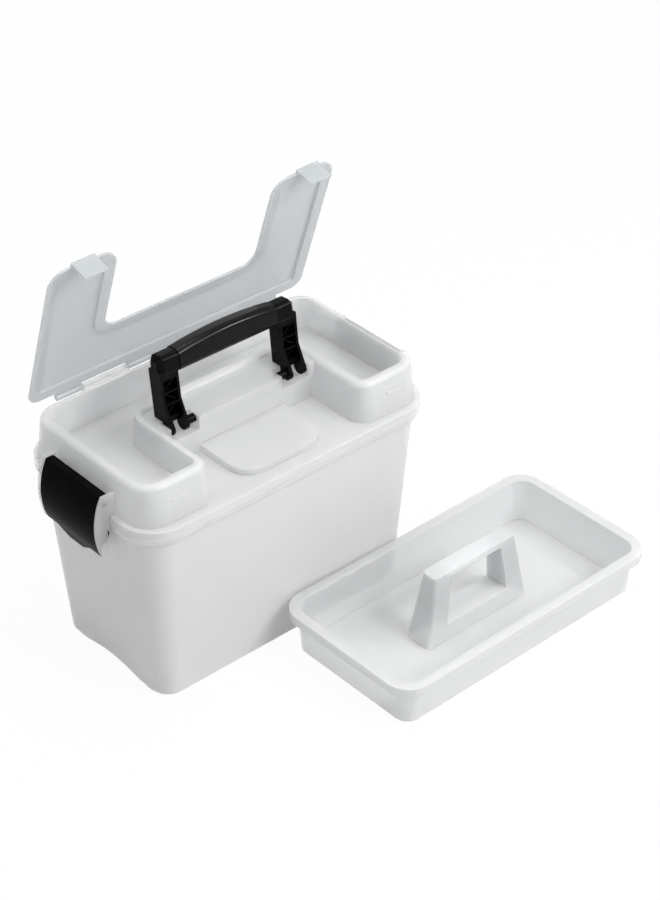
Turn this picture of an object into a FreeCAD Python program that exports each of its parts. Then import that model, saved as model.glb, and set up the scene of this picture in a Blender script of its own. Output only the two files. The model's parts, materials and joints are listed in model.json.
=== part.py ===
import FreeCAD, Part
import math
import os

import Sketcher

# Art supply box: a tapered bin, a moulded cover with a U-shaped well, a flip lid over the well,
# a folding carrying handle, two end latches and a lift-out tray standing beside the bin.
# Millimetres. +Z is up, the origin is the middle of the bin's base, +X runs along the length,
# the front is towards -Y and the flip lid's hinge runs along the back.

SIZES = {
    # Bin: a tapered tub with a collar that the cover's skirt drops over.
    "bin_base_length": 292.0,
    "bin_base_width": 153.6,
    "bin_base_corner": 19.0,
    "bin_base_round": 4.0,
    "bin_shoulder_length": 325.0,
    "bin_shoulder_width": 175.2,
    "bin_shoulder_corner": 30.0,
    "bin_shoulder_height": 182.5,
    "bin_wall": 2.4,
    "bin_floor": 2.6,
    "collar_step": 5.1,
    "collar_band": 5.0,
    "collar_wall": 2.4,
    "ledge_thickness": 3.0,
    "foot_arch_half_width": 46.0,
    "foot_arch_rise": 8.0,
    "foot_arch_depth": 16.0,
    # Cover: skirt, flange, U-shaped pod with a well inside it, and the raised deck.
    "skirt_clearance": 0.4,
    "cover_wall": 2.0,
    "seat_clearance": 0.1,
    "skirt_height": 10.7,
    "pod_height": 40.2,
    "pod_half_length": 160.5,
    "pod_front": 81.5,
    "pod_back": 84.0,
    "pod_corner": 23.0,
    "pod_draft": 6.5,
    "pod_round": 6.0,
    "rim_thickness": 4.5,
    "rim_land": 8.0,
    "notch_half_width": 88.0,
    "notch_back": 19.7,
    "notch_corner": 10.0,
    "arm_corner": 14.0,
    "well_rise": 8.7,
    "well_draft": 3.0,
    "deck_drop": 3.5,
    "deck_front": 17.0,
    "platform_rise": 7.2,
    "platform_front": 80.0,
    "platform_half_width": 49.0,
    "platform_corner": 22.0,
    "bead_middle": 125.0,
    "bead_length": 16.0,
    "bead_height": 3.0,
    "bead_drop": 19.5,
    "bead_projection": 1.2,
    # Flip lid and its row of hinge barrels.
    "barrel_clearance": 1.0,
    "barrel_radius": 3.0,
    "barrel_web_drop": 0.2,
    "peg_radius": 1.5,
    "peg_length": 4.0,
    "pin_clearance": 0.05,
    "inner_barrel_end": 49.0,
    "outer_barrel_start": 101.0,
    "outer_barrel_end": 129.0,
    "barrel_gap": 0.5,
    "lid_open_angle": 71.6,
    "lid_side_gap": 1.1,
    "lid_overhang": 1.0,
    "lid_seat_gap": 0.3,
    "lid_thickness": 2.0,
    "lid_underside": 1.2,
    "lid_back_gap": 4.5,
    "lid_notch_gap": 1.0,
    "lid_strip_gap": 1.2,
    "lid_arm_corner": 18.0,
    "lid_hinge_corner": 12.0,
    "lid_notch_corner": 16.0,
    "lid_border": 9.0,
    "lid_panel_rise": 3.0,
    "tab_width": 25.0,
    "tab_drop": 19.0,
    "tab_thickness": 1.8,
    "tab_clearance": 0.4,
    # Carrying handle: two ribbed legs, a cross bar and a grip sleeve.
    "pivot_setback": 7.5,
    "pivot_drop": 4.0,
    "handle_lean": 6.5,
    "handle_half_length": 78.5,
    "leg_width": 20.0,
    "leg_depth": 16.5,
    "leg_setback": 1.5,
    "leg_skin": 2.6,
    "leg_rib": 1.3,
    "leg_channel_bottom": 10.0,
    "foot_gap": 0.2,
    "ear_radius": 7.0,
    "ear_clearance": 3.0,
    "ear_top": 24.0,
    "ear_thickness": 4.0,
    "lug_radius": 4.2,
    "lug_length": 9.5,
    "trunnion_radius": 2.5,
    "trunnion_length": 3.0,
    "pocket_gap": 0.5,
    "pocket_side_gap": 1.5,
    "pocket_back": 0.5,
    "grip_bottom": 48.5,
    "grip_top": 70.0,
    "grip_depth": 20.0,
    "grip_half_length": 56.0,
    "grip_corner": 7.0,
    "grip_swell": 4.0,
    "grip_step": 0.8,
    "grip_seam": 0.3,
    "grip_bar": 11.0,
    "handle_chamfer": 5.0,
    # Latches at both ends, hung from cheek plates on the cover.
    "latch_pivot_gap": 3.2,
    "latch_pivot_rise": 15.7,
    "latch_release_angle": 3.6,
    "latch_half_width": 39.5,
    "latch_top": 5.8,
    "latch_top_out": 3.6,
    "latch_ledge_in": 4.5,
    "latch_web_in": 2.6,
    "latch_bottom": 56.3,
    "latch_bottom_out": 3.0,
    "latch_bow": 75.0,
    "latch_wall": 2.4,
    "latch_tongue_half_width": 24.0,
    "latch_tongue_tip_half_width": 10.0,
    "latch_tongue_drop": 7.5,
    "latch_tongue_out": 0.5,
    "hook_catch": 1.7,
    "hook_gap": 1.4,
    "hook_tip_height": 3.0,
    "hook_slope": 3.2,
    "hook_height": 10.5,
    "hook_back_low": 6.3,
    "hook_back_high": 8.6,
    "latch_pin_radius": 2.2,
    "cheek_gap": 0.8,
    "cheek_thickness": 2.4,
    "cheek_top": 7.5,
    "cheek_top_out": 3.8,
    "cheek_bottom": 55.5,
    "cheek_bottom_out": 6.8,
    "cheek_guard_gap": 2.6,
    # Lift-out tray with a moulded grip in its middle.
    "tray_x": 147.0,
    "tray_gap": 1.6,
    "tray_turn": 0.6,
    "tray_clearance": 3.0,
    "tray_base_inset": 11.5,
    "tray_base_corner": 14.0,
    "tray_height": 48.0,
    "tray_draft": 4.4,
    "tray_wall": 2.0,
    "tray_rim_corner": 25.5,
    "tray_lip": 10.0,
    "tray_grip_base_length": 132.0,
    "tray_grip_base_width": 32.0,
    "tray_grip_top_length": 106.0,
    "tray_grip_top_width": 18.0,
    "tray_grip_height": 76.0,
    "tray_grip_corner": 5.0,
    "tray_slot_bottom": 20.0,
    "tray_slot_top": 70.0,
    "tray_slot_bottom_half": 40.0,
    "tray_slot_top_half": 33.0,
}

document = FreeCAD.newDocument("art_supply_box")
sheet = document.addObject("Spreadsheet::Sheet", "Sizes")


class Size:
    """A sheet value, or a sum of sheet values, kept as expression text and as a number."""

    def __init__(self, text, value):
        self.text = text
        self.value = value

    def __add__(self, other):
        other = as_size(other)
        return Size(f"({self.text} + {other.text})", self.value + other.value)

    def __sub__(self, other):
        other = as_size(other)
        return Size(f"({self.text} - {other.text})", self.value - other.value)

    def __mul__(self, other):
        other = as_size(other)
        return Size(f"({self.text} * {other.text})", self.value * other.value)

    def __truediv__(self, other):
        other = as_size(other)
        return Size(f"({self.text} / {other.text})", self.value / other.value)

    def __neg__(self):
        return Size(f"(0 - {self.text})", -self.value)


def as_size(value):
    """A plain number as a Size."""
    if isinstance(value, Size):
        return value
    return Size(repr(float(value)), float(value))


def tangent(angle):
    """Tangent of an angle in degrees."""
    return Size(f"tan({angle.text} * 1 deg)", math.tan(math.radians(angle.value)))


def fill_sheet():
    """Write each size into its own cell under its own name."""
    for row, (name, value) in enumerate(SIZES.items(), start=1):
        cell = f"A{row}"
        sheet.set(cell, str(value))
        sheet.setAlias(cell, name)
    document.recompute()


def size(name):
    """The named sheet value."""
    return Size(f"Sizes.{name}", SIZES[name])


ZERO = as_size(0)
# Depth by which a joined form reaches into its neighbour, or a cut past the face it starts from.
OVERLAP = as_size(1)


def new_body(label):
    """An empty body that carries one sub-part."""
    body = document.addObject("PartDesign::Body", label)
    body.Label = label
    return body


def new_sketch(body, name, plane, offset):
    """A sketch on one of the body's own planes, moved along the plane's normal."""
    sketch = body.newObject("Sketcher::SketchObject", name)
    support = [item for item in body.Origin.OriginFeatures if item.Role == plane][0]
    sketch.AttachmentSupport = [(support, "")]
    sketch.MapMode = "FlatFace"
    sketch.AttachmentOffset = FreeCAD.Placement(FreeCAD.Vector(0, 0, offset.value), FreeCAD.Rotation())
    sketch.setExpression("AttachmentOffset.Base.z", offset.text)
    return sketch


def drive(sketch, constraint, measure):
    """Add a measured constraint and bind it to the sheet."""
    index = sketch.addConstraint(constraint)
    sketch.setExpression(f"Constraints[{index}]", measure.text)


def square_outline(body, name, plane, offset, sides, radii):
    """A closed outline of level and upright sides, anticlockwise, with a radius at each corner.

    Each side is ("x", place) or ("y", place); radius i rounds the corner after side i.
    """
    sketch = new_sketch(body, name, plane, offset)
    add_square_loop(sketch, sides, radii)
    return sketch


def add_square_loop(sketch, sides, radii):
    """One closed loop of level and upright sides with rounded corners."""
    count = len(sides)
    corners = []
    for index in range(count):
        here, after = sides[index], sides[(index + 1) % count]
        across = here[1].value if here[0] == "x" else after[1].value
        along = here[1].value if here[0] == "y" else after[1].value
        corners.append(FreeCAD.Vector(across, along, 0))
    lines = []
    turns = []
    for index in range(count):
        begin, end = corners[index - 1], corners[index]
        way = (end - begin).normalize()
        trim_begin = radii[index - 1].value
        trim_end = radii[index].value
        lines.append(sketch.addGeometry(Part.LineSegment(begin + way * trim_begin, end - way * trim_end)))
        turns.append(way)
    for index in range(count):
        join_corner(sketch, lines, turns, corners, index, radii[index])
    for line, (axis, place) in zip(lines, sides):
        if axis == "x":
            sketch.addConstraint(Sketcher.Constraint("Vertical", line))
            drive(sketch, Sketcher.Constraint("DistanceX", -1, 1, line, 1, place.value), place)
        else:
            sketch.addConstraint(Sketcher.Constraint("Horizontal", line))
            drive(sketch, Sketcher.Constraint("DistanceY", -1, 1, line, 1, place.value), place)


def join_corner(sketch, lines, turns, corners, index, radius):
    """Join two neighbouring sides, by an arc where the radius is not zero."""
    after = (index + 1) % len(lines)
    if radius.value == 0:
        sketch.addConstraint(Sketcher.Constraint("Coincident", lines[index], 2, lines[after], 1))
        return
    way_in, way_out = turns[index], turns[after]
    centre = corners[index] + (way_out - way_in) * radius.value
    first = corners[index] - way_in * radius.value - centre
    last = corners[index] + way_out * radius.value - centre
    left_turn = way_in.x * way_out.y - way_in.y * way_out.x > 0
    begin, end = (first, last) if left_turn else (last, first)
    from_angle = math.atan2(begin.y, begin.x)
    to_angle = math.atan2(end.y, end.x)
    circle = Part.Circle(centre, FreeCAD.Vector(0, 0, 1), radius.value)
    arc = sketch.addGeometry(Part.ArcOfCircle(circle, from_angle, to_angle))
    arc_first, arc_last = (1, 2) if left_turn else (2, 1)
    sketch.addConstraint(Sketcher.Constraint("Tangent", lines[index], 2, arc, arc_first))
    sketch.addConstraint(Sketcher.Constraint("Tangent", arc, arc_last, lines[after], 1))
    drive(sketch, Sketcher.Constraint("Radius", arc, radius.value), radius)


def rectangle(body, name, plane, offset, left, right, low, high, radius=ZERO):
    """A rectangle between two upright and two level sides."""
    sides = [("y", low), ("x", right), ("y", high), ("x", left)]
    return square_outline(body, name, plane, offset, sides, [radius] * 4)


def middle_rectangle(body, name, offset, length, width, radius):
    """A rounded rectangle about the vertical axis."""
    half_length = length / 2
    half_width = width / 2
    return rectangle(body, name, "XY_Plane", offset, -half_length, half_length, -half_width, half_width, radius)


def polygon(body, name, plane, offset, points, arcs=None):
    """A closed outline through points; arcs maps a side's number to its radius, bulging to the right."""
    sketch = new_sketch(body, name, plane, offset)
    arcs = arcs or {}
    spots = [FreeCAD.Vector(across.value, along.value, 0) for across, along in points]
    count = len(points)
    ends = []
    for index in range(count):
        begin, end = spots[index], spots[(index + 1) % count]
        if index in arcs:
            ends.append(add_bow(sketch, begin, end, arcs[index]))
        else:
            ends.append((sketch.addGeometry(Part.LineSegment(begin, end)), 1, 2))
    for index in range(count):
        side, first, last = ends[index]
        after, after_first, _ = ends[(index + 1) % count]
        sketch.addConstraint(Sketcher.Constraint("Coincident", side, last, after, after_first))
        across, along = points[index]
        drive(sketch, Sketcher.Constraint("DistanceX", -1, 1, side, first, across.value), across)
        drive(sketch, Sketcher.Constraint("DistanceY", -1, 1, side, first, along.value), along)
    return sketch


def add_bow(sketch, begin, end, bow):
    """An arc from begin to end that bulges to the right of the way, or to the left if its radius is negative."""
    radius = abs(bow.value)
    chord = end - begin
    middle = (begin + end) * 0.5
    right = FreeCAD.Vector(chord.y, -chord.x, 0).normalize()
    away = math.sqrt(radius * radius - chord.Length * chord.Length / 4)
    side = 1 if bow.value > 0 else -1
    centre = middle - right * away * side
    first = begin - centre
    last = end - centre
    if side < 0:
        first, last = last, first
    circle = Part.Circle(centre, FreeCAD.Vector(0, 0, 1), radius)
    arc = sketch.addGeometry(Part.ArcOfCircle(circle, math.atan2(first.y, first.x), math.atan2(last.y, last.x)))
    measure = bow if side > 0 else -bow
    drive(sketch, Sketcher.Constraint("Radius", arc, radius), measure)
    return (arc, 1, 2) if side > 0 else (arc, 2, 1)


def round_outline(body, name, plane, offset, across, along, radius):
    """A circle at a point."""
    sketch = new_sketch(body, name, plane, offset)
    centre = FreeCAD.Vector(across.value, along.value, 0)
    circle = sketch.addGeometry(Part.Circle(centre, FreeCAD.Vector(0, 0, 1), radius.value))
    drive(sketch, Sketcher.Constraint("DistanceX", -1, 1, circle, 3, across.value), across)
    drive(sketch, Sketcher.Constraint("DistanceY", -1, 1, circle, 3, along.value), along)
    drive(sketch, Sketcher.Constraint("Radius", circle, radius.value), radius)
    return sketch


def extrude(body, kind, sketch, length, taper, way):
    """A pad or pocket of one sketch; way is "up", "down" or "both" along the sketch's normal."""
    feature = body.newObject(f"PartDesign::{kind}", f"{sketch.Name}_{kind.lower()}")
    feature.Profile = sketch
    feature.setExpression("Length", length.text)
    if taper is not None:
        feature.setExpression("TaperAngle", taper.text)
    if way == "both":
        feature.SideType = "Symmetric"
    forward = "up" if kind == "Pad" else "down"
    feature.Reversed = way not in (forward, "both")
    sketch.Visibility = False
    return feature


def pad(body, sketch, length, taper=None, way="up"):
    """Add material."""
    return extrude(body, "Pad", sketch, length, taper, way)


def pocket(body, sketch, length, taper=None, way="down"):
    """Take material away."""
    return extrude(body, "Pocket", sketch, length, taper, way)


def loft(body, kind, sketches):
    """Add or take away the solid between outlines."""
    feature = body.newObject(f"PartDesign::{kind}Loft", f"{sketches[0].Name}_loft")
    feature.Profile = sketches[0]
    feature.Sections = sketches[1:]
    feature.Ruled = True
    return feature


def edges_where(shape, wanted):
    """Names of the edges whose every end and middle passes the test."""
    names = []
    for number, edge in enumerate(shape.Edges, start=1):
        spots = [vertex.Point for vertex in edge.Vertexes]
        spots.append(edge.valueAt((edge.FirstParameter + edge.LastParameter) / 2))
        if all(wanted(spot) for spot in spots):
            names.append(f"Edge{number}")
    return names


def soften(body, kind, radius, wanted, name):
    """Round or bevel the picked edges of the body so far."""
    document.recompute()
    before = body.Tip
    feature = body.newObject(f"PartDesign::{kind}", name)
    feature.Base = (before, edges_where(before.Shape, wanted))
    feature.setExpression("Radius" if kind == "Fillet" else "Size", radius.text)
    return feature


NEAR = 1e-4


def level(height):
    """Test for points at one height."""
    return lambda spot: abs(spot.z - height.value) < NEAR


def skirt_bottom():
    """Lower edge of the cover's skirt on the closed bin."""
    return size("bin_shoulder_height") + size("collar_step") + size("collar_band")


def flange_top():
    """Top of the skirt, where the pod starts."""
    return skirt_bottom() + size("skirt_height")


def rim_top():
    """Top of the pod's rim."""
    return flange_top() + size("pod_height")


def deck_top():
    """Top of the deck between the pod's arms."""
    return rim_top() - size("deck_drop")


def handle_pivot():
    """The handle's pivot: its distance in front of the middle and its height."""
    return size("deck_front") - size("pivot_setback"), deck_top() - size("pivot_drop")


def pocket_floor():
    """Floor of the handle's foot pockets, clear of the turning ears."""
    return handle_pivot()[1] - size("ear_radius") - size("ear_clearance")


def lid_hinge():
    """The lid's hinge line: its distance behind the middle and its height."""
    back = size("pod_back") + size("barrel_radius") + size("barrel_clearance")
    return back, rim_top() + size("lid_seat_gap") - size("lid_underside")


def collar_half():
    """Half of the collar's length."""
    return size("bin_shoulder_length") / 2 + size("collar_step")


def skirt_half():
    """Half of the skirt's length."""
    return collar_half() + size("skirt_clearance") + size("cover_wall")


def latch_pivot():
    """A latch's pivot: its distance from the middle and its height."""
    return skirt_half() + size("latch_pivot_gap"), flange_top() + size("latch_pivot_rise")


def hook_tip():
    """The closed hook's tip, from the latch's pivot: how far in and how far down."""
    out, height = latch_pivot()
    catch = size("hook_catch")
    flare_top = size("bin_shoulder_height") + size("collar_step")
    return out - collar_half() + catch, height - flare_top + catch + size("hook_gap")


def bin_at(height, inset):
    """Length, width and corner radius of the bin's drafted wall at a height, moved in by an inset."""
    share = height / size("bin_shoulder_height")
    length = size("bin_base_length") + (size("bin_shoulder_length") - size("bin_base_length")) * share
    width = size("bin_base_width") + (size("bin_shoulder_width") - size("bin_base_width")) * share
    corner = size("bin_base_corner") + (size("bin_shoulder_corner") - size("bin_base_corner")) * share
    return length - inset * 2, width - inset * 2, corner - inset


def build_bin():
    """The tub: drafted walls on arched feet, a flared shoulder, a collar and the ledge inside it."""
    body = new_body("bin")
    shoulder = size("bin_shoulder_height")
    step = size("collar_step")
    rim = flange_top() - size("cover_wall") - size("seat_clearance")
    ledge = shoulder + size("ledge_thickness")
    wall = size("bin_wall")
    floor = size("bin_floor")

    add_base_rounding(body)
    base_round = size("bin_base_round")
    foot = middle_rectangle(body, "bin_foot", base_round, *bin_at(base_round, ZERO))
    top = middle_rectangle(body, "bin_shoulder", shoulder, *bin_at(shoulder, ZERO))
    loft(body, "Additive", [foot, top])
    flare = middle_rectangle(body, "bin_flare", shoulder, *bin_at(shoulder, ZERO))
    pad(body, flare, step, as_size(45))
    collar = middle_rectangle(body, "bin_collar", shoulder + step, *bin_at(shoulder, -step))
    pad(body, collar, rim - shoulder - step)

    mouth = middle_rectangle(body, "bin_mouth", rim, *bin_at(shoulder, size("collar_wall") - step))
    pocket(body, mouth, rim - ledge)
    cavity_top = middle_rectangle(body, "bin_cavity_top", ledge, *bin_at(ledge, wall))
    cavity_floor = middle_rectangle(body, "bin_cavity_floor", floor, *bin_at(floor, wall))
    loft(body, "Subtractive", [cavity_floor, cavity_top])
    for side in (-1, 1):
        add_foot_arch(body, side)
    return body


def add_base_rounding(body):
    """The rounding under the walls, in three slanted steps of 30 degrees."""
    radius = size("bin_base_round")
    step = 30
    for begin in (0, 30, 60):
        turned = math.radians(begin)
        after = math.radians(begin + step)
        height = radius * (1 - math.cos(turned))
        inset = radius * (1 - math.sin(turned))
        outline = middle_rectangle(body, f"bin_base_{begin}", height, *bin_at(radius, inset))
        lean = as_size(90 - begin - step / 2)
        pad(body, outline, radius * (math.cos(turned) - math.cos(after)), lean)


def add_foot_arch(body, side):
    """Arch one end's lower edge between its two corners, with an even wall over the arch."""
    end = size("bin_base_length") / 2
    depth = size("foot_arch_depth")
    floor = size("bin_floor")
    inner = end - depth
    outer = end - size("bin_wall") / 2
    label = "right" if side > 0 else "left"

    def arch(name, offset, half_width, rise):
        bow = (half_width * half_width + rise * rise) / (rise * 2)
        points = [(half_width, ZERO), (-half_width, ZERO)]
        return polygon(body, name, "YZ_Plane", offset, points, {0: bow})

    half_width = size("foot_arch_half_width")
    rise = size("foot_arch_rise")
    roof_start = inner - floor if side > 0 else -outer
    roof = arch(f"arch_roof_{label}", roof_start, half_width + floor * 4, rise + floor)
    pad(body, roof, outer - inner + floor)
    hollow = arch(f"arch_hollow_{label}", inner if side > 0 else -inner, half_width, rise)
    pocket(body, hollow, depth * 2, way="up" if side > 0 else "down")


def u_outline(body, name, offset, inset, plan):
    """The U of the pod or lid, open to the front, moved in by an inset."""
    sides = [
        ("y", -plan["front"] + inset),
        ("x", -plan["notch"] - inset),
        ("y", plan["strip"] + inset),
        ("x", plan["notch"] + inset),
        ("y", -plan["front"] + inset),
        ("x", plan["end"] - inset),
        ("y", plan["back"] - inset),
        ("x", -plan["end"] + inset),
    ]
    arm = plan["arm_corner"] - inset
    inner = plan["notch_corner"] + inset
    outer = plan["front_corner"] - inset
    rear = plan["back_corner"] - inset
    radii = [arm, inner, inner, arm, outer, rear, rear, outer]
    return square_outline(body, name, "XY_Plane", offset, sides, radii)


def pod_plan():
    """The pod's outline at its rim."""
    return {
        "front": size("pod_front"),
        "back": size("pod_back"),
        "end": size("pod_half_length"),
        "notch": size("notch_half_width"),
        "strip": size("notch_back"),
        "arm_corner": size("arm_corner"),
        "notch_corner": size("notch_corner"),
        "front_corner": size("pod_corner"),
        "back_corner": size("pod_corner"),
    }


def build_cover():
    """The moulded cover: skirt, pod with its well, deck, platform, catches, hinge, cheeks and pivots."""
    body = new_body("cover")
    wall = size("cover_wall")
    flange = flange_top()
    rim = rim_top()
    spread = (rim - flange) * tangent(size("pod_draft"))
    grow = size("collar_step") + size("skirt_clearance")
    shoulder = size("bin_shoulder_height")

    skirt = middle_rectangle(body, "skirt", skirt_bottom(), *bin_at(shoulder, -grow - wall))
    pad(body, skirt, size("skirt_height"))
    pod = u_outline(body, "pod", flange, -spread, pod_plan())
    pad(body, pod, rim - flange, -size("pod_draft"))
    soften(body, "Fillet", size("pod_round"), level(rim), "pod_rounding")
    add_deck(body, flange)

    hollow = middle_rectangle(body, "skirt_hollow", skirt_bottom(), *bin_at(shoulder, -grow))
    pocket(body, hollow, size("skirt_height") - wall, way="up")
    pod_hollow = u_outline(body, "pod_hollow", flange - wall, wall - spread, pod_plan())
    pocket(body, pod_hollow, size("pod_height") + wall - size("rim_thickness"), -size("pod_draft"), way="up")
    add_well(body, rim)
    hollow_deck(body, flange - wall)
    add_catch_beads(body, rim)
    add_cover_barrels(body)
    add_cheeks(body)
    return body


def add_well(body, rim):
    """The U-shaped tub hung from the rim inside the pod."""
    wall = size("cover_wall")
    floor = flange_top() + size("well_rise")
    lean = tangent(size("well_draft"))
    land = size("rim_land")
    tub_bottom = floor - wall
    tub = u_outline(body, "tub", tub_bottom, land - wall + (rim - tub_bottom) * lean, pod_plan())
    pad(body, tub, rim - wall / 2 - tub_bottom, size("well_draft"))
    well = u_outline(body, "well", rim, land, pod_plan())
    pocket(body, well, rim - floor, -size("well_draft"))


def add_deck(body, flange):
    """The raised deck between the arms, the low platform in front of it and the handle's foot pockets."""
    notch = size("notch_half_width")
    front = size("deck_front")
    deck = rectangle(body, "deck", "XY_Plane", flange, -notch, notch, -front, size("notch_back"))
    pad(body, deck, deck_top() - flange)
    platform = platform_outline(body, "platform", flange, ZERO)
    pad(body, platform, size("platform_rise"))
    inner, outer = pocket_sides()
    for side in (-1, 1):
        left, right = (inner, outer) if side > 0 else (-outer, -inner)
        name = "foot_pocket_right" if side > 0 else "foot_pocket_left"
        foot = rectangle(body, name, "XY_Plane", deck_top(), left, right, -front * 2, -size("pocket_back"))
        pocket(body, foot, deck_top() - pocket_floor())


def platform_outline(body, name, offset, inset):
    """The D-shaped platform with its rounded front corners."""
    half = size("platform_half_width") - inset
    front = -size("platform_front") + inset
    back = -size("deck_front") + OVERLAP
    corner = size("platform_corner") - inset
    sides = [("y", front), ("x", half), ("y", back), ("x", -half)]
    return square_outline(body, name, "XY_Plane", offset, sides, [corner, ZERO, ZERO, corner])


def pocket_sides():
    """Inner and outer sides of a foot pocket, from the handle's leg, its lug and the side gaps."""
    outer = size("handle_half_length")
    inner = outer - size("leg_width") - size("lug_length")
    return inner - size("pocket_gap"), outer + size("pocket_side_gap")


def hollow_deck(body, underside):
    """Even out the wall under the deck, its foot pockets and the platform, and bore the pivot holes."""
    wall = size("cover_wall")
    inner, outer = pocket_sides()
    spread = (rim_top() - underside) * tangent(size("pod_draft"))
    back = size("notch_back") - spread - wall
    front = -size("deck_front") + wall
    wide = outer - wall
    low = rectangle(body, "deck_hollow_low", "XY_Plane", underside, -wide, wide, front, back)
    pocket(body, low, pocket_floor() - wall - underside, way="up")
    narrow = inner - wall
    middle = rectangle(body, "deck_hollow_middle", "XY_Plane", underside, -narrow, narrow, front, back)
    pocket(body, middle, deck_top() - wall - underside, way="up")
    rear_front = -size("pocket_back") + wall
    rear = rectangle(body, "deck_hollow_rear", "XY_Plane", underside, -wide, wide, rear_front, back)
    pocket(body, rear, deck_top() - wall - underside, way="up")
    platform = platform_outline(body, "platform_hollow", underside, wall)
    pocket(body, platform, size("platform_rise"), way="up")
    radius = size("trunnion_radius") + size("pin_clearance")
    pivot_front, pivot_height = handle_pivot()
    bore = round_outline(body, "pivot_bore", "YZ_Plane", ZERO, -pivot_front, pivot_height, radius)
    pocket(body, bore, (inner + wall / 4) * 2, way="both")


def add_catch_beads(body, rim):
    """A short bead on the front wall of each arm for the lid's tab."""
    bottom = rim - size("bead_drop")
    wall_face = -size("pod_front") - size("bead_drop") * tangent(size("pod_draft"))
    half = size("bead_length") / 2
    middle = size("bead_middle")
    for side in (-1, 1):
        name = "bead_right" if side > 0 else "bead_left"
        place = middle * side
        front = wall_face - size("bead_projection")
        back = wall_face + size("cover_wall") / 2
        bead = rectangle(body, name, "XY_Plane", bottom, place - half, place + half, front, back)
        pad(body, bead, size("bead_height"))


def add_cover_barrels(body):
    """The cover's two hinge barrels, each on a bracket from the pod's back wall."""
    across, along = lid_hinge()
    radius = size("barrel_radius")
    start = size("inner_barrel_end") + size("barrel_gap")
    end = size("outer_barrel_start") - size("barrel_gap")
    bracket_front = size("pod_back") - size("cover_wall") / 2
    for side in (-1, 1):
        label = "right" if side > 0 else "left"
        offset = start if side > 0 else -end
        points = [
            (bracket_front, along - radius * 4),
            (across + radius / 2, along - radius),
            (across, along),
            (bracket_front, along),
        ]
        bracket = polygon(body, f"barrel_bracket_{label}", "YZ_Plane", offset, points)
        pad(body, bracket, end - start)
        barrel = round_outline(body, f"cover_barrel_{label}", "YZ_Plane", offset, across, along, radius)
        pad(body, barrel, end - start)
        bore_radius = size("peg_radius") + size("pin_clearance")
        bore = round_outline(body, f"barrel_bore_{label}", "YZ_Plane", offset, across, along, bore_radius)
        pocket(body, bore, end - start, way="up")


def add_cheeks(body):
    """Two bowed cheek plates at each end that carry a latch between them and guard its sides."""
    flange = flange_top()
    inside = size("cover_wall") / 2
    inside_skirt = skirt_half() - inside
    guard = skirt_half() + size("cheek_guard_gap")
    pivot_out, pivot_height = latch_pivot()
    top = pivot_height + size("cheek_top")
    bottom = pivot_height - size("cheek_bottom")
    draft = tangent(size("pod_draft"))
    pod_top = size("pod_half_length") + (rim_top() - top) * draft
    pod_foot = size("pod_half_length") + size("pod_height") * draft
    near = size("latch_half_width") + size("cheek_gap")
    bow = size("latch_bow")
    for side in (-1, 1):
        outline = [
            (pod_foot - inside, flange - inside),
            (inside_skirt, flange - inside),
            (inside_skirt, skirt_bottom()),
            (guard, skirt_bottom()),
            (guard, bottom),
            (pivot_out + size("cheek_bottom_out"), bottom),
            (pivot_out + size("cheek_top_out"), top),
            (pod_top - inside, top),
        ]
        points = [(across * side, along) for across, along in outline]
        bows = {5: bow}
        if side < 0:
            points.reverse()
            bows = {1: bow}
        for front in (True, False):
            offset = near if front else -near - size("cheek_thickness")
            end_name = "right" if side > 0 else "left"
            name = f"cheek_{end_name}_{'front' if front else 'back'}"
            pad(body, polygon(body, name, "XZ_Plane", offset, points, bows), size("cheek_thickness"))
        radius = size("latch_pin_radius") + size("pin_clearance")
        name = "latch_bore_right" if side > 0 else "latch_bore_left"
        bore = round_outline(body, name, "XZ_Plane", ZERO, pivot_out * side, pivot_height, radius)
        pocket(body, bore, (near + size("cheek_thickness") + OVERLAP) * 2, way="both")


def build_lid():
    """The U-shaped flip lid with a raised panel, catch tabs and hinge barrels, about its hinge line."""
    body = new_body("flip_lid")
    hinge_back, hinge_height = lid_hinge()
    plan = {
        "front": lid_reach(),
        "back": -size("lid_back_gap"),
        "end": size("pod_half_length") - size("lid_side_gap"),
        "notch": size("notch_half_width") - size("lid_notch_gap"),
        "strip": size("notch_back") - size("lid_strip_gap") - hinge_back,
        "arm_corner": size("lid_arm_corner"),
        "notch_corner": size("lid_notch_corner"),
        "front_corner": size("lid_arm_corner"),
        "back_corner": size("lid_hinge_corner"),
    }
    underside = size("lid_underside")
    thick = size("lid_thickness")
    border = size("lid_border")
    rise = size("lid_panel_rise")
    pad(body, u_outline(body, "lid_plate", underside, ZERO, plan), thick)
    pad(body, u_outline(body, "lid_panel", underside + thick, border, plan), rise)
    pocket(body, u_outline(body, "lid_dish", underside, border + thick, plan), rise, way="up")
    add_tabs(body)
    add_lid_barrels(body)
    turn = size("lid_open_angle")
    place_turned(body, FreeCAD.Vector(-1, 0, 0), turn, ZERO, hinge_back, hinge_height)
    return body


def lid_reach():
    """Distance from the hinge line to the front ends of the lid's arms."""
    return lid_hinge()[0] + size("pod_front") + size("lid_overhang")


def add_tabs(body):
    """A catch tab at the end of each lid arm."""
    wall_face = size("pod_front") + size("bead_drop") * tangent(size("pod_draft"))
    inner = -(wall_face + size("bead_projection") + size("tab_clearance") + lid_hinge()[0])
    outer = inner - size("tab_thickness")
    underside = size("lid_underside")
    half = size("tab_width") / 2
    for side in (-1, 1):
        label = "right" if side > 0 else "left"
        left = size("bead_middle") * side - half
        right = size("bead_middle") * side + half
        back = -lid_reach() + size("lid_border") / 2
        bridge = rectangle(body, f"tab_bridge_{label}", "XY_Plane", underside, left, right, outer, back)
        pad(body, bridge, size("lid_thickness"))
        bottom = underside - size("tab_drop")
        tab = rectangle(body, f"tab_{label}", "XY_Plane", bottom, left, right, outer, inner)
        pad(body, tab, size("tab_drop") + size("lid_thickness"))


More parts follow.
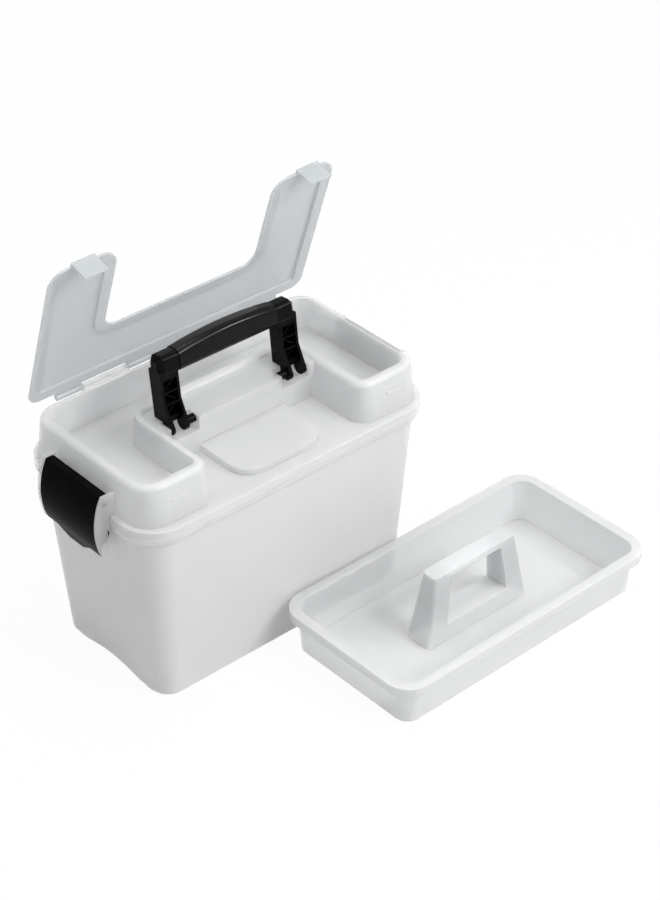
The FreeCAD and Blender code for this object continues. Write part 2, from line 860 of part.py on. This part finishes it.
def add_lid_barrels(body):
    """The lid's three hinge barrels with the pegs that enter the cover's barrels."""
    inner = size("inner_barrel_end")
    start = size("outer_barrel_start")
    end = size("outer_barrel_end")
    peg = size("peg_length")
    top = size("lid_underside") + size("lid_thickness")
    back_gap = size("lid_back_gap") + size("lid_thickness")
    radius = size("barrel_radius")
    spans = {"middle": (-inner, inner), "right": (start, end), "left": (-end, -start)}
    for label, (first, last) in spans.items():
        points = [
            (ZERO, ZERO),
            (ZERO, radius - size("barrel_web_drop")),
            (-back_gap, top),
            (-back_gap, size("lid_underside")),
            (-radius, ZERO),
        ]
        web = polygon(body, f"barrel_web_{label}", "YZ_Plane", first, points)
        pad(body, web, last - first)
        barrel = round_outline(body, f"lid_barrel_{label}", "YZ_Plane", first, ZERO, ZERO, radius)
        pad(body, barrel, last - first)
    pegs = {
        "inner_right": inner - OVERLAP,
        "inner_left": -inner - peg,
        "outer_right": start - peg,
        "outer_left": -start - OVERLAP,
    }
    for label, first in pegs.items():
        outline = round_outline(body, f"peg_{label}", "YZ_Plane", first, ZERO, ZERO, size("peg_radius"))
        pad(body, outline, peg + OVERLAP)


def place_turned(body, axis, turn, across, along, up):
    """Place a body by its own origin, turned about an axis."""
    spot = FreeCAD.Vector(across.value, along.value, up.value)
    body.Placement = FreeCAD.Placement(spot, FreeCAD.Rotation(axis, turn.value))
    body.setExpression("Placement.Base.x", across.text)
    body.setExpression("Placement.Base.y", along.text)
    body.setExpression("Placement.Base.z", up.text)
    body.setExpression("Placement.Rotation.Angle", turn.text)


def leg_back():
    """Rear face of the handle's legs, from the pivot."""
    return size("leg_depth") + size("leg_setback")


def bar_middle():
    """Depth and height of the middle of the grip, from the pivot."""
    return leg_back() - size("leg_depth") / 2, (size("grip_bottom") + size("grip_top")) / 2


def build_bail():
    """The handle's frame: two ribbed legs with pivot ears, end blocks and the bar inside the grip."""
    body = new_body("handle_bail")
    depth_middle, height_middle = bar_middle()
    outer = size("handle_half_length")
    inner = outer - size("leg_width")
    half_bar = size("grip_bar") / 2
    bar = rectangle(
        body, "grip_bar", "YZ_Plane", ZERO,
        depth_middle - half_bar, depth_middle + half_bar, height_middle - half_bar, height_middle + half_bar)
    pad(body, bar, (inner + OVERLAP) * 2, way="both")
    for side in (-1, 1):
        add_end_block(body, side)
        add_leg(body, side)
    place_handle(body)
    return body


def place_handle(body):
    """Lean a piece of the handle back about the handle's pivot."""
    pivot_front, pivot_height = handle_pivot()
    place_turned(body, FreeCAD.Vector(-1, 0, 0), size("handle_lean"), ZERO, -pivot_front, pivot_height)


def add_end_block(body, side):
    """The block that joins a leg to the bar: the grip's section, a little smaller, with a bevelled end."""
    label = "right" if side > 0 else "left"
    depth_middle, _ = bar_middle()
    step = size("grip_step")
    half = size("grip_depth") / 2 - step
    start = size("grip_half_length") + size("grip_seam")
    bevel = size("handle_chamfer")
    end = size("handle_half_length") - bevel
    low = size("grip_bottom")
    high = size("grip_top") - step
    corner = size("grip_corner") - step
    way = "up" if side > 0 else "down"
    for name, place, length, taper in (
        ("end_block", start, end - start, None),
        ("end_bevel", end, bevel, as_size(-45)),
    ):
        outline = rectangle(
            body, f"{name}_{label}", "YZ_Plane", place * side,
            depth_middle - half, depth_middle + half, low, high, corner)
        pad(body, outline, length, taper, way)


def add_leg(body, side):
    """A leg with an open front channel, level and slanting ribs, ears at its foot and a pivot stub."""
    label = "right" if side > 0 else "left"
    outer = size("handle_half_length")
    inner = outer - size("leg_width")
    front = size("leg_setback")
    back = leg_back()
    skin = size("leg_skin")
    top = size("grip_bottom") + size("grip_corner")
    lean = tangent(size("handle_lean"))
    stand = size("pivot_drop") + size("foot_gap")
    start = inner if side > 0 else -outer
    points = [(front, stand + front * lean), (back, stand + back * lean), (back, top), (front, top)]
    pad(body, polygon(body, f"leg_{label}", "YZ_Plane", start, points), size("leg_width"))
    add_ears(body, side, label, inner, outer)

    low = size("leg_channel_bottom")
    high = size("grip_bottom") - skin
    left, right = (inner, outer) if side > 0 else (-outer, -inner)
    left = left + skin
    right = right - skin
    channel = rectangle(body, f"channel_{label}", "XZ_Plane", -back + skin, left, right, low, high)
    pocket(body, channel, size("leg_depth") * 2, way="up")
    add_ribs(body, label, (left, right), (low, high))


def add_ears(body, side, label, inner, outer):
    """The rounded ears that reach down into a foot pocket, and the lug and stub towards its side wall."""
    radius = size("ear_radius")
    thick = size("ear_thickness")
    front = size("leg_setback")
    top = size("ear_top")
    points = [
        (-radius, ZERO),
        (radius, ZERO),
        (radius, size("leg_channel_bottom")),
        (front + OVERLAP, top),
        (front, top),
    ]
    spans = {"inner": inner, "outer": outer - thick} if side > 0 else {"inner": -inner - thick, "outer": -outer}
    for place, start in spans.items():
        pad(body, polygon(body, f"ear_{place}_{label}", "YZ_Plane", start, points), thick)
        tip = round_outline(body, f"ear_tip_{place}_{label}", "YZ_Plane", start, ZERO, ZERO, radius)
        pad(body, tip, thick)
    lug = size("lug_length")
    reach = lug + size("trunnion_length")
    for name, length, round_size in (("lug", lug, "lug_radius"), ("trunnion", reach, "trunnion_radius")):
        start = inner - length if side > 0 else -inner - thick
        outline = round_outline(body, f"{name}_{label}", "YZ_Plane", start, ZERO, ZERO, size(round_size))
        pad(body, outline, length + thick)


def add_ribs(body, label, sides, heights):
    """Two level ribs, and one slanting rib in each of the three bays, rising and falling by turns."""
    left, right = sides
    low, high = heights
    rib = size("leg_rib")
    bays = 3
    pitch = (high - low) / bays
    depth = size("leg_depth") - size("leg_skin") / 2
    offset = -leg_back() + size("leg_skin") / 2
    for bay in range(bays):
        bottom = low + pitch * bay
        ceiling = bottom + pitch - rib
        start, end = (ceiling, bottom) if bay % 2 else (bottom, ceiling)
        points = [(left, start), (right, end), (right, end + rib), (left, start + rib)]
        slant = polygon(body, f"rib_slant_{label}_{bay + 1}", "XZ_Plane", offset, points)
        pad(body, slant, depth - size("leg_skin"))
        if bay:
            name = f"rib_level_{label}_{bay}"
            shelf = rectangle(body, name, "XZ_Plane", offset, left, right, bottom - rib / 2, bottom + rib / 2)
            pad(body, shelf, depth)


def build_grip():
    """The grip: a rounded sleeve around the handle's bar, with a bowed top."""
    body = new_body("handle_grip")
    depth_middle, height_middle = bar_middle()
    half_length = size("grip_half_length")
    half_depth = size("grip_depth") / 2
    low = size("grip_bottom")
    high = size("grip_top")
    swell = size("grip_swell")
    bow = (half_length * half_length + swell * swell) / (swell * 2)
    points = [(-half_length, low), (half_length, low), (half_length, high), (-half_length, high)]
    outline = polygon(body, "grip_side", "XZ_Plane", -depth_middle - half_depth, points, {2: bow})
    pad(body, outline, half_depth * 2)

    def long_edge(spot):
        at_face = abs(abs(spot.y - depth_middle.value) - half_depth.value) < NEAR
        return at_face and (abs(spot.z - low.value) < NEAR or spot.z > high.value - NEAR)

    soften(body, "Fillet", size("grip_corner"), long_edge, "grip_rounding")
    half_bar = size("grip_bar") / 2 + size("pin_clearance")
    bore = rectangle(
        body, "grip_bore", "YZ_Plane", ZERO,
        depth_middle - half_bar, depth_middle + half_bar, height_middle - half_bar, height_middle + half_bar)
    pocket(body, bore, (half_length + OVERLAP) * 2, way="both")
    place_handle(body)
    return body


def build_latch(side):
    """A bowed latch plate with side webs, pivot pins, a hook bar and a finger tongue, about its pivot."""
    label = "right" if side > 0 else "left"
    body = new_body(f"latch_{label}")
    wall = size("latch_wall")
    top = size("latch_top")
    top_out = size("latch_top_out")
    ledge_in = size("latch_ledge_in")
    web_in = size("latch_web_in")
    bottom = -size("latch_bottom")
    bottom_out = size("latch_bottom_out")
    bow = size("latch_bow")
    half = size("latch_half_width")

    def profile(name, points, arcs, offset=ZERO):
        points = [(across * side, along) for across, along in points]
        bows = {number: radius * side for number, radius in arcs.items()}
        return polygon(body, name, "XZ_Plane", offset, points, bows)

    skin = [
        (-ledge_in, top - wall),
        (top_out - wall, top - wall),
        (bottom_out - wall, bottom),
        (bottom_out, bottom),
        (top_out, top),
        (-ledge_in, top),
    ]
    pad(body, profile(f"latch_skin_{label}", skin, {1: -(bow - wall), 3: bow}), half * 2, way="both")
    web = [(-web_in, top), (-web_in, -hook_tip()[1]), (bottom_out, bottom), (top_out, top)]
    for front in (True, False):
        place = half - wall if front else -half
        name = f"latch_web_{'front' if front else 'back'}_{label}"
        pad(body, profile(name, web, {2: bow}, place), wall)
    add_hook(body, label, profile)
    tongue_out = size("latch_tongue_out")
    tongue_bottom = bottom - size("latch_tongue_drop")
    tongue = [
        (bottom_out - wall, bottom + wall),
        (tongue_out - wall, tongue_bottom),
        (tongue_out, tongue_bottom),
        (bottom_out, bottom),
        (bottom_out, bottom + wall),
    ]
    width = size("latch_tongue_half_width") * 2
    pad(body, profile(f"latch_tongue_{label}", tongue, {}), width, way="both")
    trim_tongue(body, label)
    pin_reach = half + size("cheek_gap") + size("cheek_thickness")
    for front in (True, False):
        place = half - wall if front else -pin_reach
        name = f"latch_pin_{'front' if front else 'back'}_{label}"
        pin = round_outline(body, name, "XZ_Plane", place, ZERO, ZERO, size("latch_pin_radius"))
        pad(body, pin, pin_reach - half + wall)
    axis = FreeCAD.Vector(0, -side, 0)
    pivot_out, pivot_height = latch_pivot()
    place_turned(body, axis, size("latch_release_angle"), pivot_out * side, ZERO, pivot_height)
    return body


def trim_tongue(body, label):
    """Slant the two sides of the finger tongue below the plate."""
    wide = size("latch_tongue_half_width")
    narrow = size("latch_tongue_tip_half_width")
    bottom = -size("latch_bottom")
    tip = bottom - size("latch_tongue_drop")
    for side in (-1, 1):
        points = [
            (narrow * side, tip - OVERLAP),
            ((wide + OVERLAP) * side, tip - OVERLAP),
            ((wide + OVERLAP) * side, bottom),
            (wide * side, bottom),
            (narrow * side, tip),
        ]
        if side < 0:
            points.reverse()
        name = f"tongue_slant_{'back' if side > 0 else 'front'}_{label}"
        pocket(body, polygon(body, name, "YZ_Plane", ZERO, points), wide * 2, way="both")


def add_hook(body, label, profile):
    """The bar behind the plate that catches under the bin's shoulder."""
    tip_in, tip_down = hook_tip()
    tip = -tip_in
    top = -tip_down
    slope = size("hook_slope")
    bottom = top - size("hook_height")
    hook = [
        (tip, top),
        (tip, top - size("hook_tip_height")),
        (tip + slope, bottom),
        (size("hook_back_low"), bottom),
        (size("hook_back_high"), top + slope),
        (tip + slope, top + slope),
    ]
    width = size("latch_half_width") * 2 - size("latch_wall")
    pad(body, profile(f"latch_hook_{label}", hook, {}), width, way="both")


def build_tray():
    """The lift-out tray: drafted walls, a turned-down rim and a hollow grip with a finger slot."""
    body = new_body("lift_out_tray")
    wall = size("tray_wall")
    high = size("tray_height")
    lip = size("tray_lip")
    rim_inset = size("collar_wall") - size("collar_step") + size("tray_clearance")
    length, width, _ = bin_at(size("bin_shoulder_height"), rim_inset)
    corner = size("tray_rim_corner")
    base_length = length - size("tray_base_inset") * 2
    base_width = width - size("tray_base_inset") * 2
    base_corner = size("tray_base_corner")
    draft = size("tray_draft")

    rim = middle_rectangle(body, "tray_rim", high - lip, length, width, corner)
    pad(body, rim, lip)
    under = middle_rectangle(
        body, "tray_under_rim", high - lip, length - wall * 2, width - wall * 2, corner - wall)
    pocket(body, under, lip - wall, way="up")
    base = middle_rectangle(body, "tray_base", ZERO, base_length, base_width, base_corner)
    pad(body, base, high - wall / 2, draft)
    spread = (high * tangent(draft) - wall) * 2
    mouth = middle_rectangle(
        body, "tray_mouth", high, base_length + spread, base_width + spread, base_corner + spread / 2)
    pocket(body, mouth, high - wall, -draft)
    add_tray_grip(body)
    _, bin_width, _ = bin_at(high, ZERO)
    front = (bin_width + width) / 2 + size("tray_gap")
    place_turned(body, FreeCAD.Vector(0, 0, 1), size("tray_turn"), size("tray_x"), -front, ZERO)
    return body


def add_tray_grip(body):
    """The hollow grip in the middle of the tray, open underneath, with a slot for the fingers."""
    wall = size("tray_wall")
    high = size("tray_grip_height")
    corner = size("tray_grip_corner")
    base_length = size("tray_grip_base_length")
    base_width = size("tray_grip_base_width")
    length_fall = (base_length - size("tray_grip_top_length")) / high
    width_fall = (base_width - size("tray_grip_top_width")) / high
    slot_low = size("tray_slot_bottom")
    slot_high = size("tray_slot_top")

    def half_length(height):
        return (base_length - length_fall * height) / 2 - wall

    def half_width(height):
        return (base_width - width_fall * height) / 2 - wall

    foot = middle_rectangle(body, "tray_grip_foot", ZERO, base_length, base_width, corner)
    top = middle_rectangle(
        body, "tray_grip_top", high, size("tray_grip_top_length"), size("tray_grip_top_width"), corner)
    loft(body, "Additive", [foot, top])

    sill = slot_low - wall
    inner = corner - wall
    low = middle_rectangle(body, "grip_sill_low", ZERO, half_length(ZERO) * 2, half_width(ZERO) * 2, inner)
    high_sill = middle_rectangle(
        body, "grip_sill_high", sill, half_length(sill) * 2, half_width(sill) * 2, inner)
    loft(body, "Subtractive", [low, high_sill])
    slot_fall = (size("tray_slot_bottom_half") - size("tray_slot_top_half")) / (slot_high - slot_low)
    crown = high - wall * 1.5

    def slot_half(height):
        return size("tray_slot_bottom_half") - slot_fall * (height - slot_low)

    for side in (-1, 1):
        sections = []
        for name, height in (("low", sill - wall / 2), ("high", crown)):
            near = slot_half(height) + wall
            far = half_length(height)
            left, right = (near, far) if side > 0 else (-far, -near)
            wide = half_width(height)
            label = f"grip_post_{name}_{'right' if side > 0 else 'left'}"
            sections.append(rectangle(body, label, "XY_Plane", height, left, right, -wide, wide))
        loft(body, "Subtractive", sections)
    low_half = size("tray_slot_bottom_half")
    high_half = size("tray_slot_top_half")
    points = [(-low_half, slot_low), (low_half, slot_low), (high_half, slot_high), (-high_half, slot_high)]
    slot = polygon(body, "tray_slot", "XZ_Plane", ZERO, points)
    pocket(body, slot, base_width * 2, way="both")


def check_document():
    """Stop if any object failed or any body is not one valid solid."""
    for item in document.Objects:
        for word in item.State:
            if word in ("Invalid", "Error"):
                raise RuntimeError(f"{item.Name} is {word}: {item.getStatusString()}")
    for body in document.findObjects("PartDesign::Body"):
        shape = body.Shape
        if shape.isNull() or not shape.isValid() or len(shape.Solids) != 1:
            raise RuntimeError(f"{body.Label} is not one valid solid")


def write_parts():
    """Write each body to its own file."""
    os.makedirs("parts", exist_ok=True)
    for body in document.findObjects("PartDesign::Body"):
        body.Shape.exportStep(f"parts/{body.Label}.step")


fill_sheet()
build_bin()
build_cover()
build_lid()
build_bail()
build_grip()
for end_side in (-1, 1):
    build_latch(end_side)
build_tray()
document.recompute()
check_document()
write_parts()
for built in document.findObjects("PartDesign::Body"):
    box = built.Shape.BoundBox
    print(built.Label, round(built.Shape.Volume / 1000, 1), "cm3", box)
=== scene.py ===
import json
import math

import bmesh
import bpy
from mathutils import Matrix, Vector


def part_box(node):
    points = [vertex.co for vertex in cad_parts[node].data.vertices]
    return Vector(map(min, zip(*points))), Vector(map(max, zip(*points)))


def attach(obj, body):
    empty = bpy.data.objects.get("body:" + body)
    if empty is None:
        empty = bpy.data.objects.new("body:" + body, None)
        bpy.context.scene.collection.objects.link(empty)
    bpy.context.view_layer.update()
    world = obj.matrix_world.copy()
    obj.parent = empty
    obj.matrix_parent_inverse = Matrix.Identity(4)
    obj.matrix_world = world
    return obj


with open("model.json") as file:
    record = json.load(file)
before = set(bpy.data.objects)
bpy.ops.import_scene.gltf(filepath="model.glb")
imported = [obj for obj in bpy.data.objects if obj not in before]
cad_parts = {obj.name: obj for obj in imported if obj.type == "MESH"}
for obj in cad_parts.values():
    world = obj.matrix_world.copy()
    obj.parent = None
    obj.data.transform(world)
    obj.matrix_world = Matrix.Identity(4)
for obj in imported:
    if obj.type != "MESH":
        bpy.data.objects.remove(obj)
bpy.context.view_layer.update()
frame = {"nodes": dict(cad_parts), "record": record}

nodes = frame["nodes"]

# Camera: the viewing angle solved from the photograph, in degrees, its target and distance in metres,
# and its lens and sensor in millimetres.
CAMERA_AZIMUTH = -41.31
CAMERA_ELEVATION = 35.15
CAMERA_TARGET = Vector((0.1362, 0.0168, 0.1))
CAMERA_DISTANCE = 2.262
CAMERA_LENS = 92.6
SENSOR_WIDTH = 36
FARTHEST_VIEW = 100

# Share of plain white in the floor where the camera sees it, the light that the surroundings give,
# and the spot that the lamps point at.
WHITE_SHARE = 0.95
WORLD_LIGHT = 0.36
LAMP_AIM = (0.05, -0.05, 0.12)

# Floor: its colour, its size and how far it lies under the object, in metres.
FLOOR_COLOUR = (0.85, 0.85, 0.85, 1)
FLOOR_SIZE = 30
FLOOR_DROP = 0.0005

# Softened edges: the distance at which split edges are joined and the rounding's width, in metres,
# and the smallest turn between two faces that is rounded, in degrees.
JOIN_DISTANCE = 1e-6
EDGE_WIDTH = 0.0006
EDGE_SEGMENTS = 2
EDGE_TURN = 38

# The boss over each end of a latch pin, in metres.
BOSS_RADIUS = 0.0029
BOSS_HEIGHT = 0.0006
BOSS_SINK = 0.0001
BOSS_SEGMENTS = 32

# Colours of the plastics.
BIN_COLOUR = (0.95, 0.95, 0.948)
COVER_COLOUR = (0.93, 0.945, 0.96)
# The lid's grey is partly its own greyer, more see-through plastic and partly painted shade: it is darkened
# for the lid's underside, which leans forward and faces down.
LID_COLOUR_WITH_PAINTED_SHADE = (0.51, 0.54, 0.56)
TRAY_COLOUR = (0.80, 0.81, 0.82)
BOSS_COLOUR = (0.95, 0.965, 0.975)
DEEP_BLACK = (0.002, 0.002, 0.0022)
SOFT_BLACK = (0.004, 0.004, 0.0043)
CLOUD_SHADE = 0.97


def new_material(name):
    """A node material with its principled shader."""
    material = bpy.data.materials.new(name)
    material.use_nodes = True
    shader = material.node_tree.nodes["Principled BSDF"]
    return material, material.node_tree, shader


def noise(tree, scale, detail):
    """Noise in the object's own coordinates, so that it stays on the piece when the piece moves."""
    place = tree.nodes.new("ShaderNodeTexCoord")
    texture = tree.nodes.new("ShaderNodeTexNoise")
    texture.inputs["Scale"].default_value = scale
    texture.inputs["Detail"].default_value = detail
    tree.links.new(place.outputs["Object"], texture.inputs["Vector"])
    return texture.outputs["Fac"]


def spread(tree, value, low, high):
    """Map a 0 to 1 value to a range."""
    node = tree.nodes.new("ShaderNodeMapRange")
    node.inputs["To Min"].default_value = low
    node.inputs["To Max"].default_value = high
    tree.links.new(value, node.inputs["Value"])
    return node.outputs["Result"]


def tint(tree, value, dark, light):
    """Mix two colours by the middle part of a 0 to 1 value."""
    ramp = tree.nodes.new("ShaderNodeValToRGB")
    ramp.color_ramp.elements[0].position = 0.3
    ramp.color_ramp.elements[0].color = (*dark, 1)
    ramp.color_ramp.elements[1].position = 0.7
    ramp.color_ramp.elements[1].color = (*light, 1)
    tree.links.new(value, ramp.inputs["Fac"])
    return ramp.outputs["Color"]


def bump(tree, shader, value, strength, distance):
    """Fine surface relief."""
    node = tree.nodes.new("ShaderNodeBump")
    node.inputs["Strength"].default_value = strength
    node.inputs["Distance"].default_value = distance
    tree.links.new(value, node.inputs["Height"])
    tree.links.new(node.outputs["Normal"], shader.inputs["Normal"])


def milky_plastic(name, colour, solidity, roughness):
    """Polypropylene that scatters light inside its wall and lets a part of it straight through."""
    material, tree, shader = new_material(name)
    cloud = noise(tree, scale=14.0, detail=3.0)
    dark = tuple(channel * CLOUD_SHADE for channel in colour)
    tree.links.new(tint(tree, cloud, dark, colour), shader.inputs["Base Color"])
    scuff = noise(tree, scale=160.0, detail=6.0)
    tree.links.new(spread(tree, scuff, roughness - 0.06, roughness + 0.08), shader.inputs["Roughness"])
    grain = noise(tree, scale=900.0, detail=2.0)
    bump(tree, shader, grain, strength=0.06, distance=0.0004)
    shader.inputs["Subsurface Weight"].default_value = 1.0
    shader.inputs["Subsurface Radius"].default_value = (1.0, 1.0, 1.0)
    shader.inputs["Subsurface Scale"].default_value = 0.008
    shader.inputs["Alpha"].default_value = solidity
    shader.inputs["Specular IOR Level"].default_value = 0.9
    shader.inputs["IOR"].default_value = 1.49
    return material


def black_plastic(name, roughness, shine):
    """Black moulded plastic with slight mottling and fine scuffs, and as much shine as is asked for."""
    material, tree, shader = new_material(name)
    mottle = noise(tree, scale=60.0, detail=4.0)
    tree.links.new(tint(tree, mottle, DEEP_BLACK, SOFT_BLACK), shader.inputs["Base Color"])
    scuff = noise(tree, scale=240.0, detail=6.0)
    tree.links.new(spread(tree, scuff, roughness - 0.05, roughness + 0.08), shader.inputs["Roughness"])
    grain = noise(tree, scale=1400.0, detail=2.0)
    bump(tree, shader, grain, strength=0.08, distance=0.0003)
    shader.inputs["Specular IOR Level"].default_value = shine
    shader.inputs["IOR"].default_value = 1.5
    return material


def dress(node_name, material):
    """Give a CAD node its material, join its split edges, soften the sharp ones and even out the shading."""
    piece = nodes[node_name]
    piece.data.materials.clear()
    piece.data.materials.append(material)
    piece.data.polygons.foreach_set("material_index", [0] * len(piece.data.polygons))
    join = piece.modifiers.new("edge_joining", "WELD")
    join.merge_threshold = JOIN_DISTANCE
    soften = piece.modifiers.new("edge_softening", "BEVEL")
    soften.width = EDGE_WIDTH
    soften.segments = EDGE_SEGMENTS
    soften.limit_method = "ANGLE"
    soften.angle_limit = math.radians(EDGE_TURN)
    even = piece.modifiers.new("even_shading", "WEIGHTED_NORMAL")
    even.keep_sharp = False


def dress_all():
    """Materials of every piece."""
    dress("bin", milky_plastic("bin_plastic", BIN_COLOUR, solidity=0.70, roughness=0.36))
    dress("cover", milky_plastic("cover_plastic", COVER_COLOUR, solidity=0.42, roughness=0.32))
    # The lid's darker grey is partly painted shade of its underside, which faces forward and down.
    dress("flip_lid", milky_plastic("lid_plastic", LID_COLOUR_WITH_PAINTED_SHADE, solidity=0.60, roughness=0.30))
    dress("lift_out_tray", milky_plastic("tray_plastic", TRAY_COLOUR, solidity=0.64, roughness=0.34))
    dress("handle_bail", black_plastic("black_plastic", roughness=0.20, shine=0.06))
    latch = black_plastic("latch_plastic", roughness=0.20, shine=0.012)
    for name in ("latch_left", "latch_right"):
        dress(name, latch)
    dress("handle_grip", black_plastic("grip_plastic", roughness=0.14, shine=0.14))


def boss_mesh(name, outward, place):
    """A low cone that lies along the pin's axis, with its narrow end outward."""
    shape = bmesh.new()
    bmesh.ops.create_cone(
        shape, cap_ends=True, segments=BOSS_SEGMENTS, depth=BOSS_HEIGHT,
        radius1=BOSS_RADIUS, radius2=BOSS_RADIUS - BOSS_HEIGHT)
    bmesh.ops.rotate(shape, verts=shape.verts, matrix=Matrix.Rotation(-outward * math.pi / 2, 3, "X"))
    bmesh.ops.translate(shape, verts=shape.verts, vec=place)
    mesh = bpy.data.meshes.new(name)
    shape.to_mesh(mesh)
    shape.free()
    return mesh


def add_pin_bosses():
    """A low moulded boss on the outside of each cheek, which closes the hole of the latch's pin."""
    material = milky_plastic("boss_plastic", BOSS_COLOUR, solidity=1.0, roughness=0.32)
    joints = {joint["name"]: joint for joint in frame["record"]["behaviour"]["joints"]}
    for side in ("left", "right"):
        low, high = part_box(f"latch_{side}")
        across, _, height = joints[f"{side}_latch"]["pos_m"]
        for end, face, outward in (("front", low[1], -1), ("back", high[1], 1)):
            middle = face + outward * (BOSS_HEIGHT / 2 - BOSS_SINK)
            mesh = boss_mesh(f"pin_boss_{side}_{end}", outward, (across, middle, height))
            boss = bpy.data.objects.new(mesh.name, mesh)
            bpy.context.scene.collection.objects.link(boss)
            boss.data.materials.append(material)
            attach(boss, "cover_body")


def seen_directly(tree):
    """One where the camera sees a surface straight, mirrored or through glass, and zero elsewhere."""
    path = tree.nodes.new("ShaderNodeLightPath")
    value = path.outputs["Is Camera Ray"]
    for kind in ("Is Glossy Ray", "Is Transmission Ray"):
        larger = tree.nodes.new("ShaderNodeMath")
        larger.operation = "MAXIMUM"
        tree.links.new(value, larger.inputs[0])
        tree.links.new(path.outputs[kind], larger.inputs[1])
        value = larger.outputs[0]
    return value


def add_floor():
    """A plain white floor that keeps a soft shadow."""
    bpy.ops.mesh.primitive_plane_add(size=FLOOR_SIZE, location=(0, 0, -FLOOR_DROP))
    floor = bpy.context.object
    floor.name = "floor"
    material, tree, shader = new_material("floor_paint")
    shader.inputs["Base Color"].default_value = FLOOR_COLOUR
    shader.inputs["Roughness"].default_value = 0.9
    shader.inputs["Specular IOR Level"].default_value = 0.0
    glow = tree.nodes.new("ShaderNodeEmission")
    glow.inputs["Color"].default_value = (1, 1, 1, 1)
    glow.inputs["Strength"].default_value = 1.0
    share = spread(tree, seen_directly(tree), 0.0, WHITE_SHARE)
    mix = tree.nodes.new("ShaderNodeMixShader")
    tree.links.new(share, mix.inputs["Fac"])
    tree.links.new(shader.outputs["BSDF"], mix.inputs[1])
    tree.links.new(glow.outputs["Emission"], mix.inputs[2])
    tree.links.new(mix.outputs["Shader"], tree.nodes["Material Output"].inputs["Surface"])
    floor.data.materials.append(material)


def add_world():
    """Even surrounding light, white where the camera sees it."""
    world = bpy.data.worlds.new("studio")
    world.use_nodes = True
    bpy.context.scene.world = world
    tree = world.node_tree
    background = tree.nodes["Background"]
    background.inputs["Color"].default_value = (1, 1, 1, 1)
    level = spread(tree, seen_directly(tree), WORLD_LIGHT, 1.0)
    tree.links.new(level, background.inputs["Strength"])


def add_softbox(name, place, size, power):
    """A square area lamp that points at the object."""
    lamp = bpy.data.lights.new(name, "AREA")
    lamp.size = size
    lamp.energy = power
    holder = bpy.data.objects.new(name, lamp)
    bpy.context.scene.collection.objects.link(holder)
    holder.location = place
    way = Vector(LAMP_AIM) - Vector(place)
    holder.rotation_euler = way.to_track_quat("-Z", "Y").to_euler()


def add_lights():
    """A broad key from the front, a small lamp on the right for the highlights and a broad top light."""
    add_softbox("key", (0.6, -1.75, 1.8), size=0.9, power=31)
    add_softbox("sparkle", (1.35, -1.45, 1.75), size=0.3, power=13)
    add_softbox("top", (0.0, 0.3, 2.2), size=1.6, power=22)


def add_camera():
    """The camera at the photograph's angle."""
    azimuth = math.radians(CAMERA_AZIMUTH)
    elevation = math.radians(CAMERA_ELEVATION)
    back = Vector((
        math.sin(azimuth) * math.cos(elevation),
        -math.cos(azimuth) * math.cos(elevation),
        math.sin(elevation)))
    camera = bpy.data.cameras.new("camera")
    camera.lens = CAMERA_LENS
    camera.sensor_width = SENSOR_WIDTH
    camera.clip_end = FARTHEST_VIEW
    holder = bpy.data.objects.new("camera", camera)
    bpy.context.scene.collection.objects.link(holder)
    holder.location = CAMERA_TARGET + back * CAMERA_DISTANCE
    holder.rotation_euler = (-back).to_track_quat("-Z", "Y").to_euler()
    bpy.context.scene.camera = holder


dress_all()
add_pin_bosses()
add_floor()
add_world()
add_lights()
add_camera()
bpy.context.scene.view_settings.view_transform = "Standard"
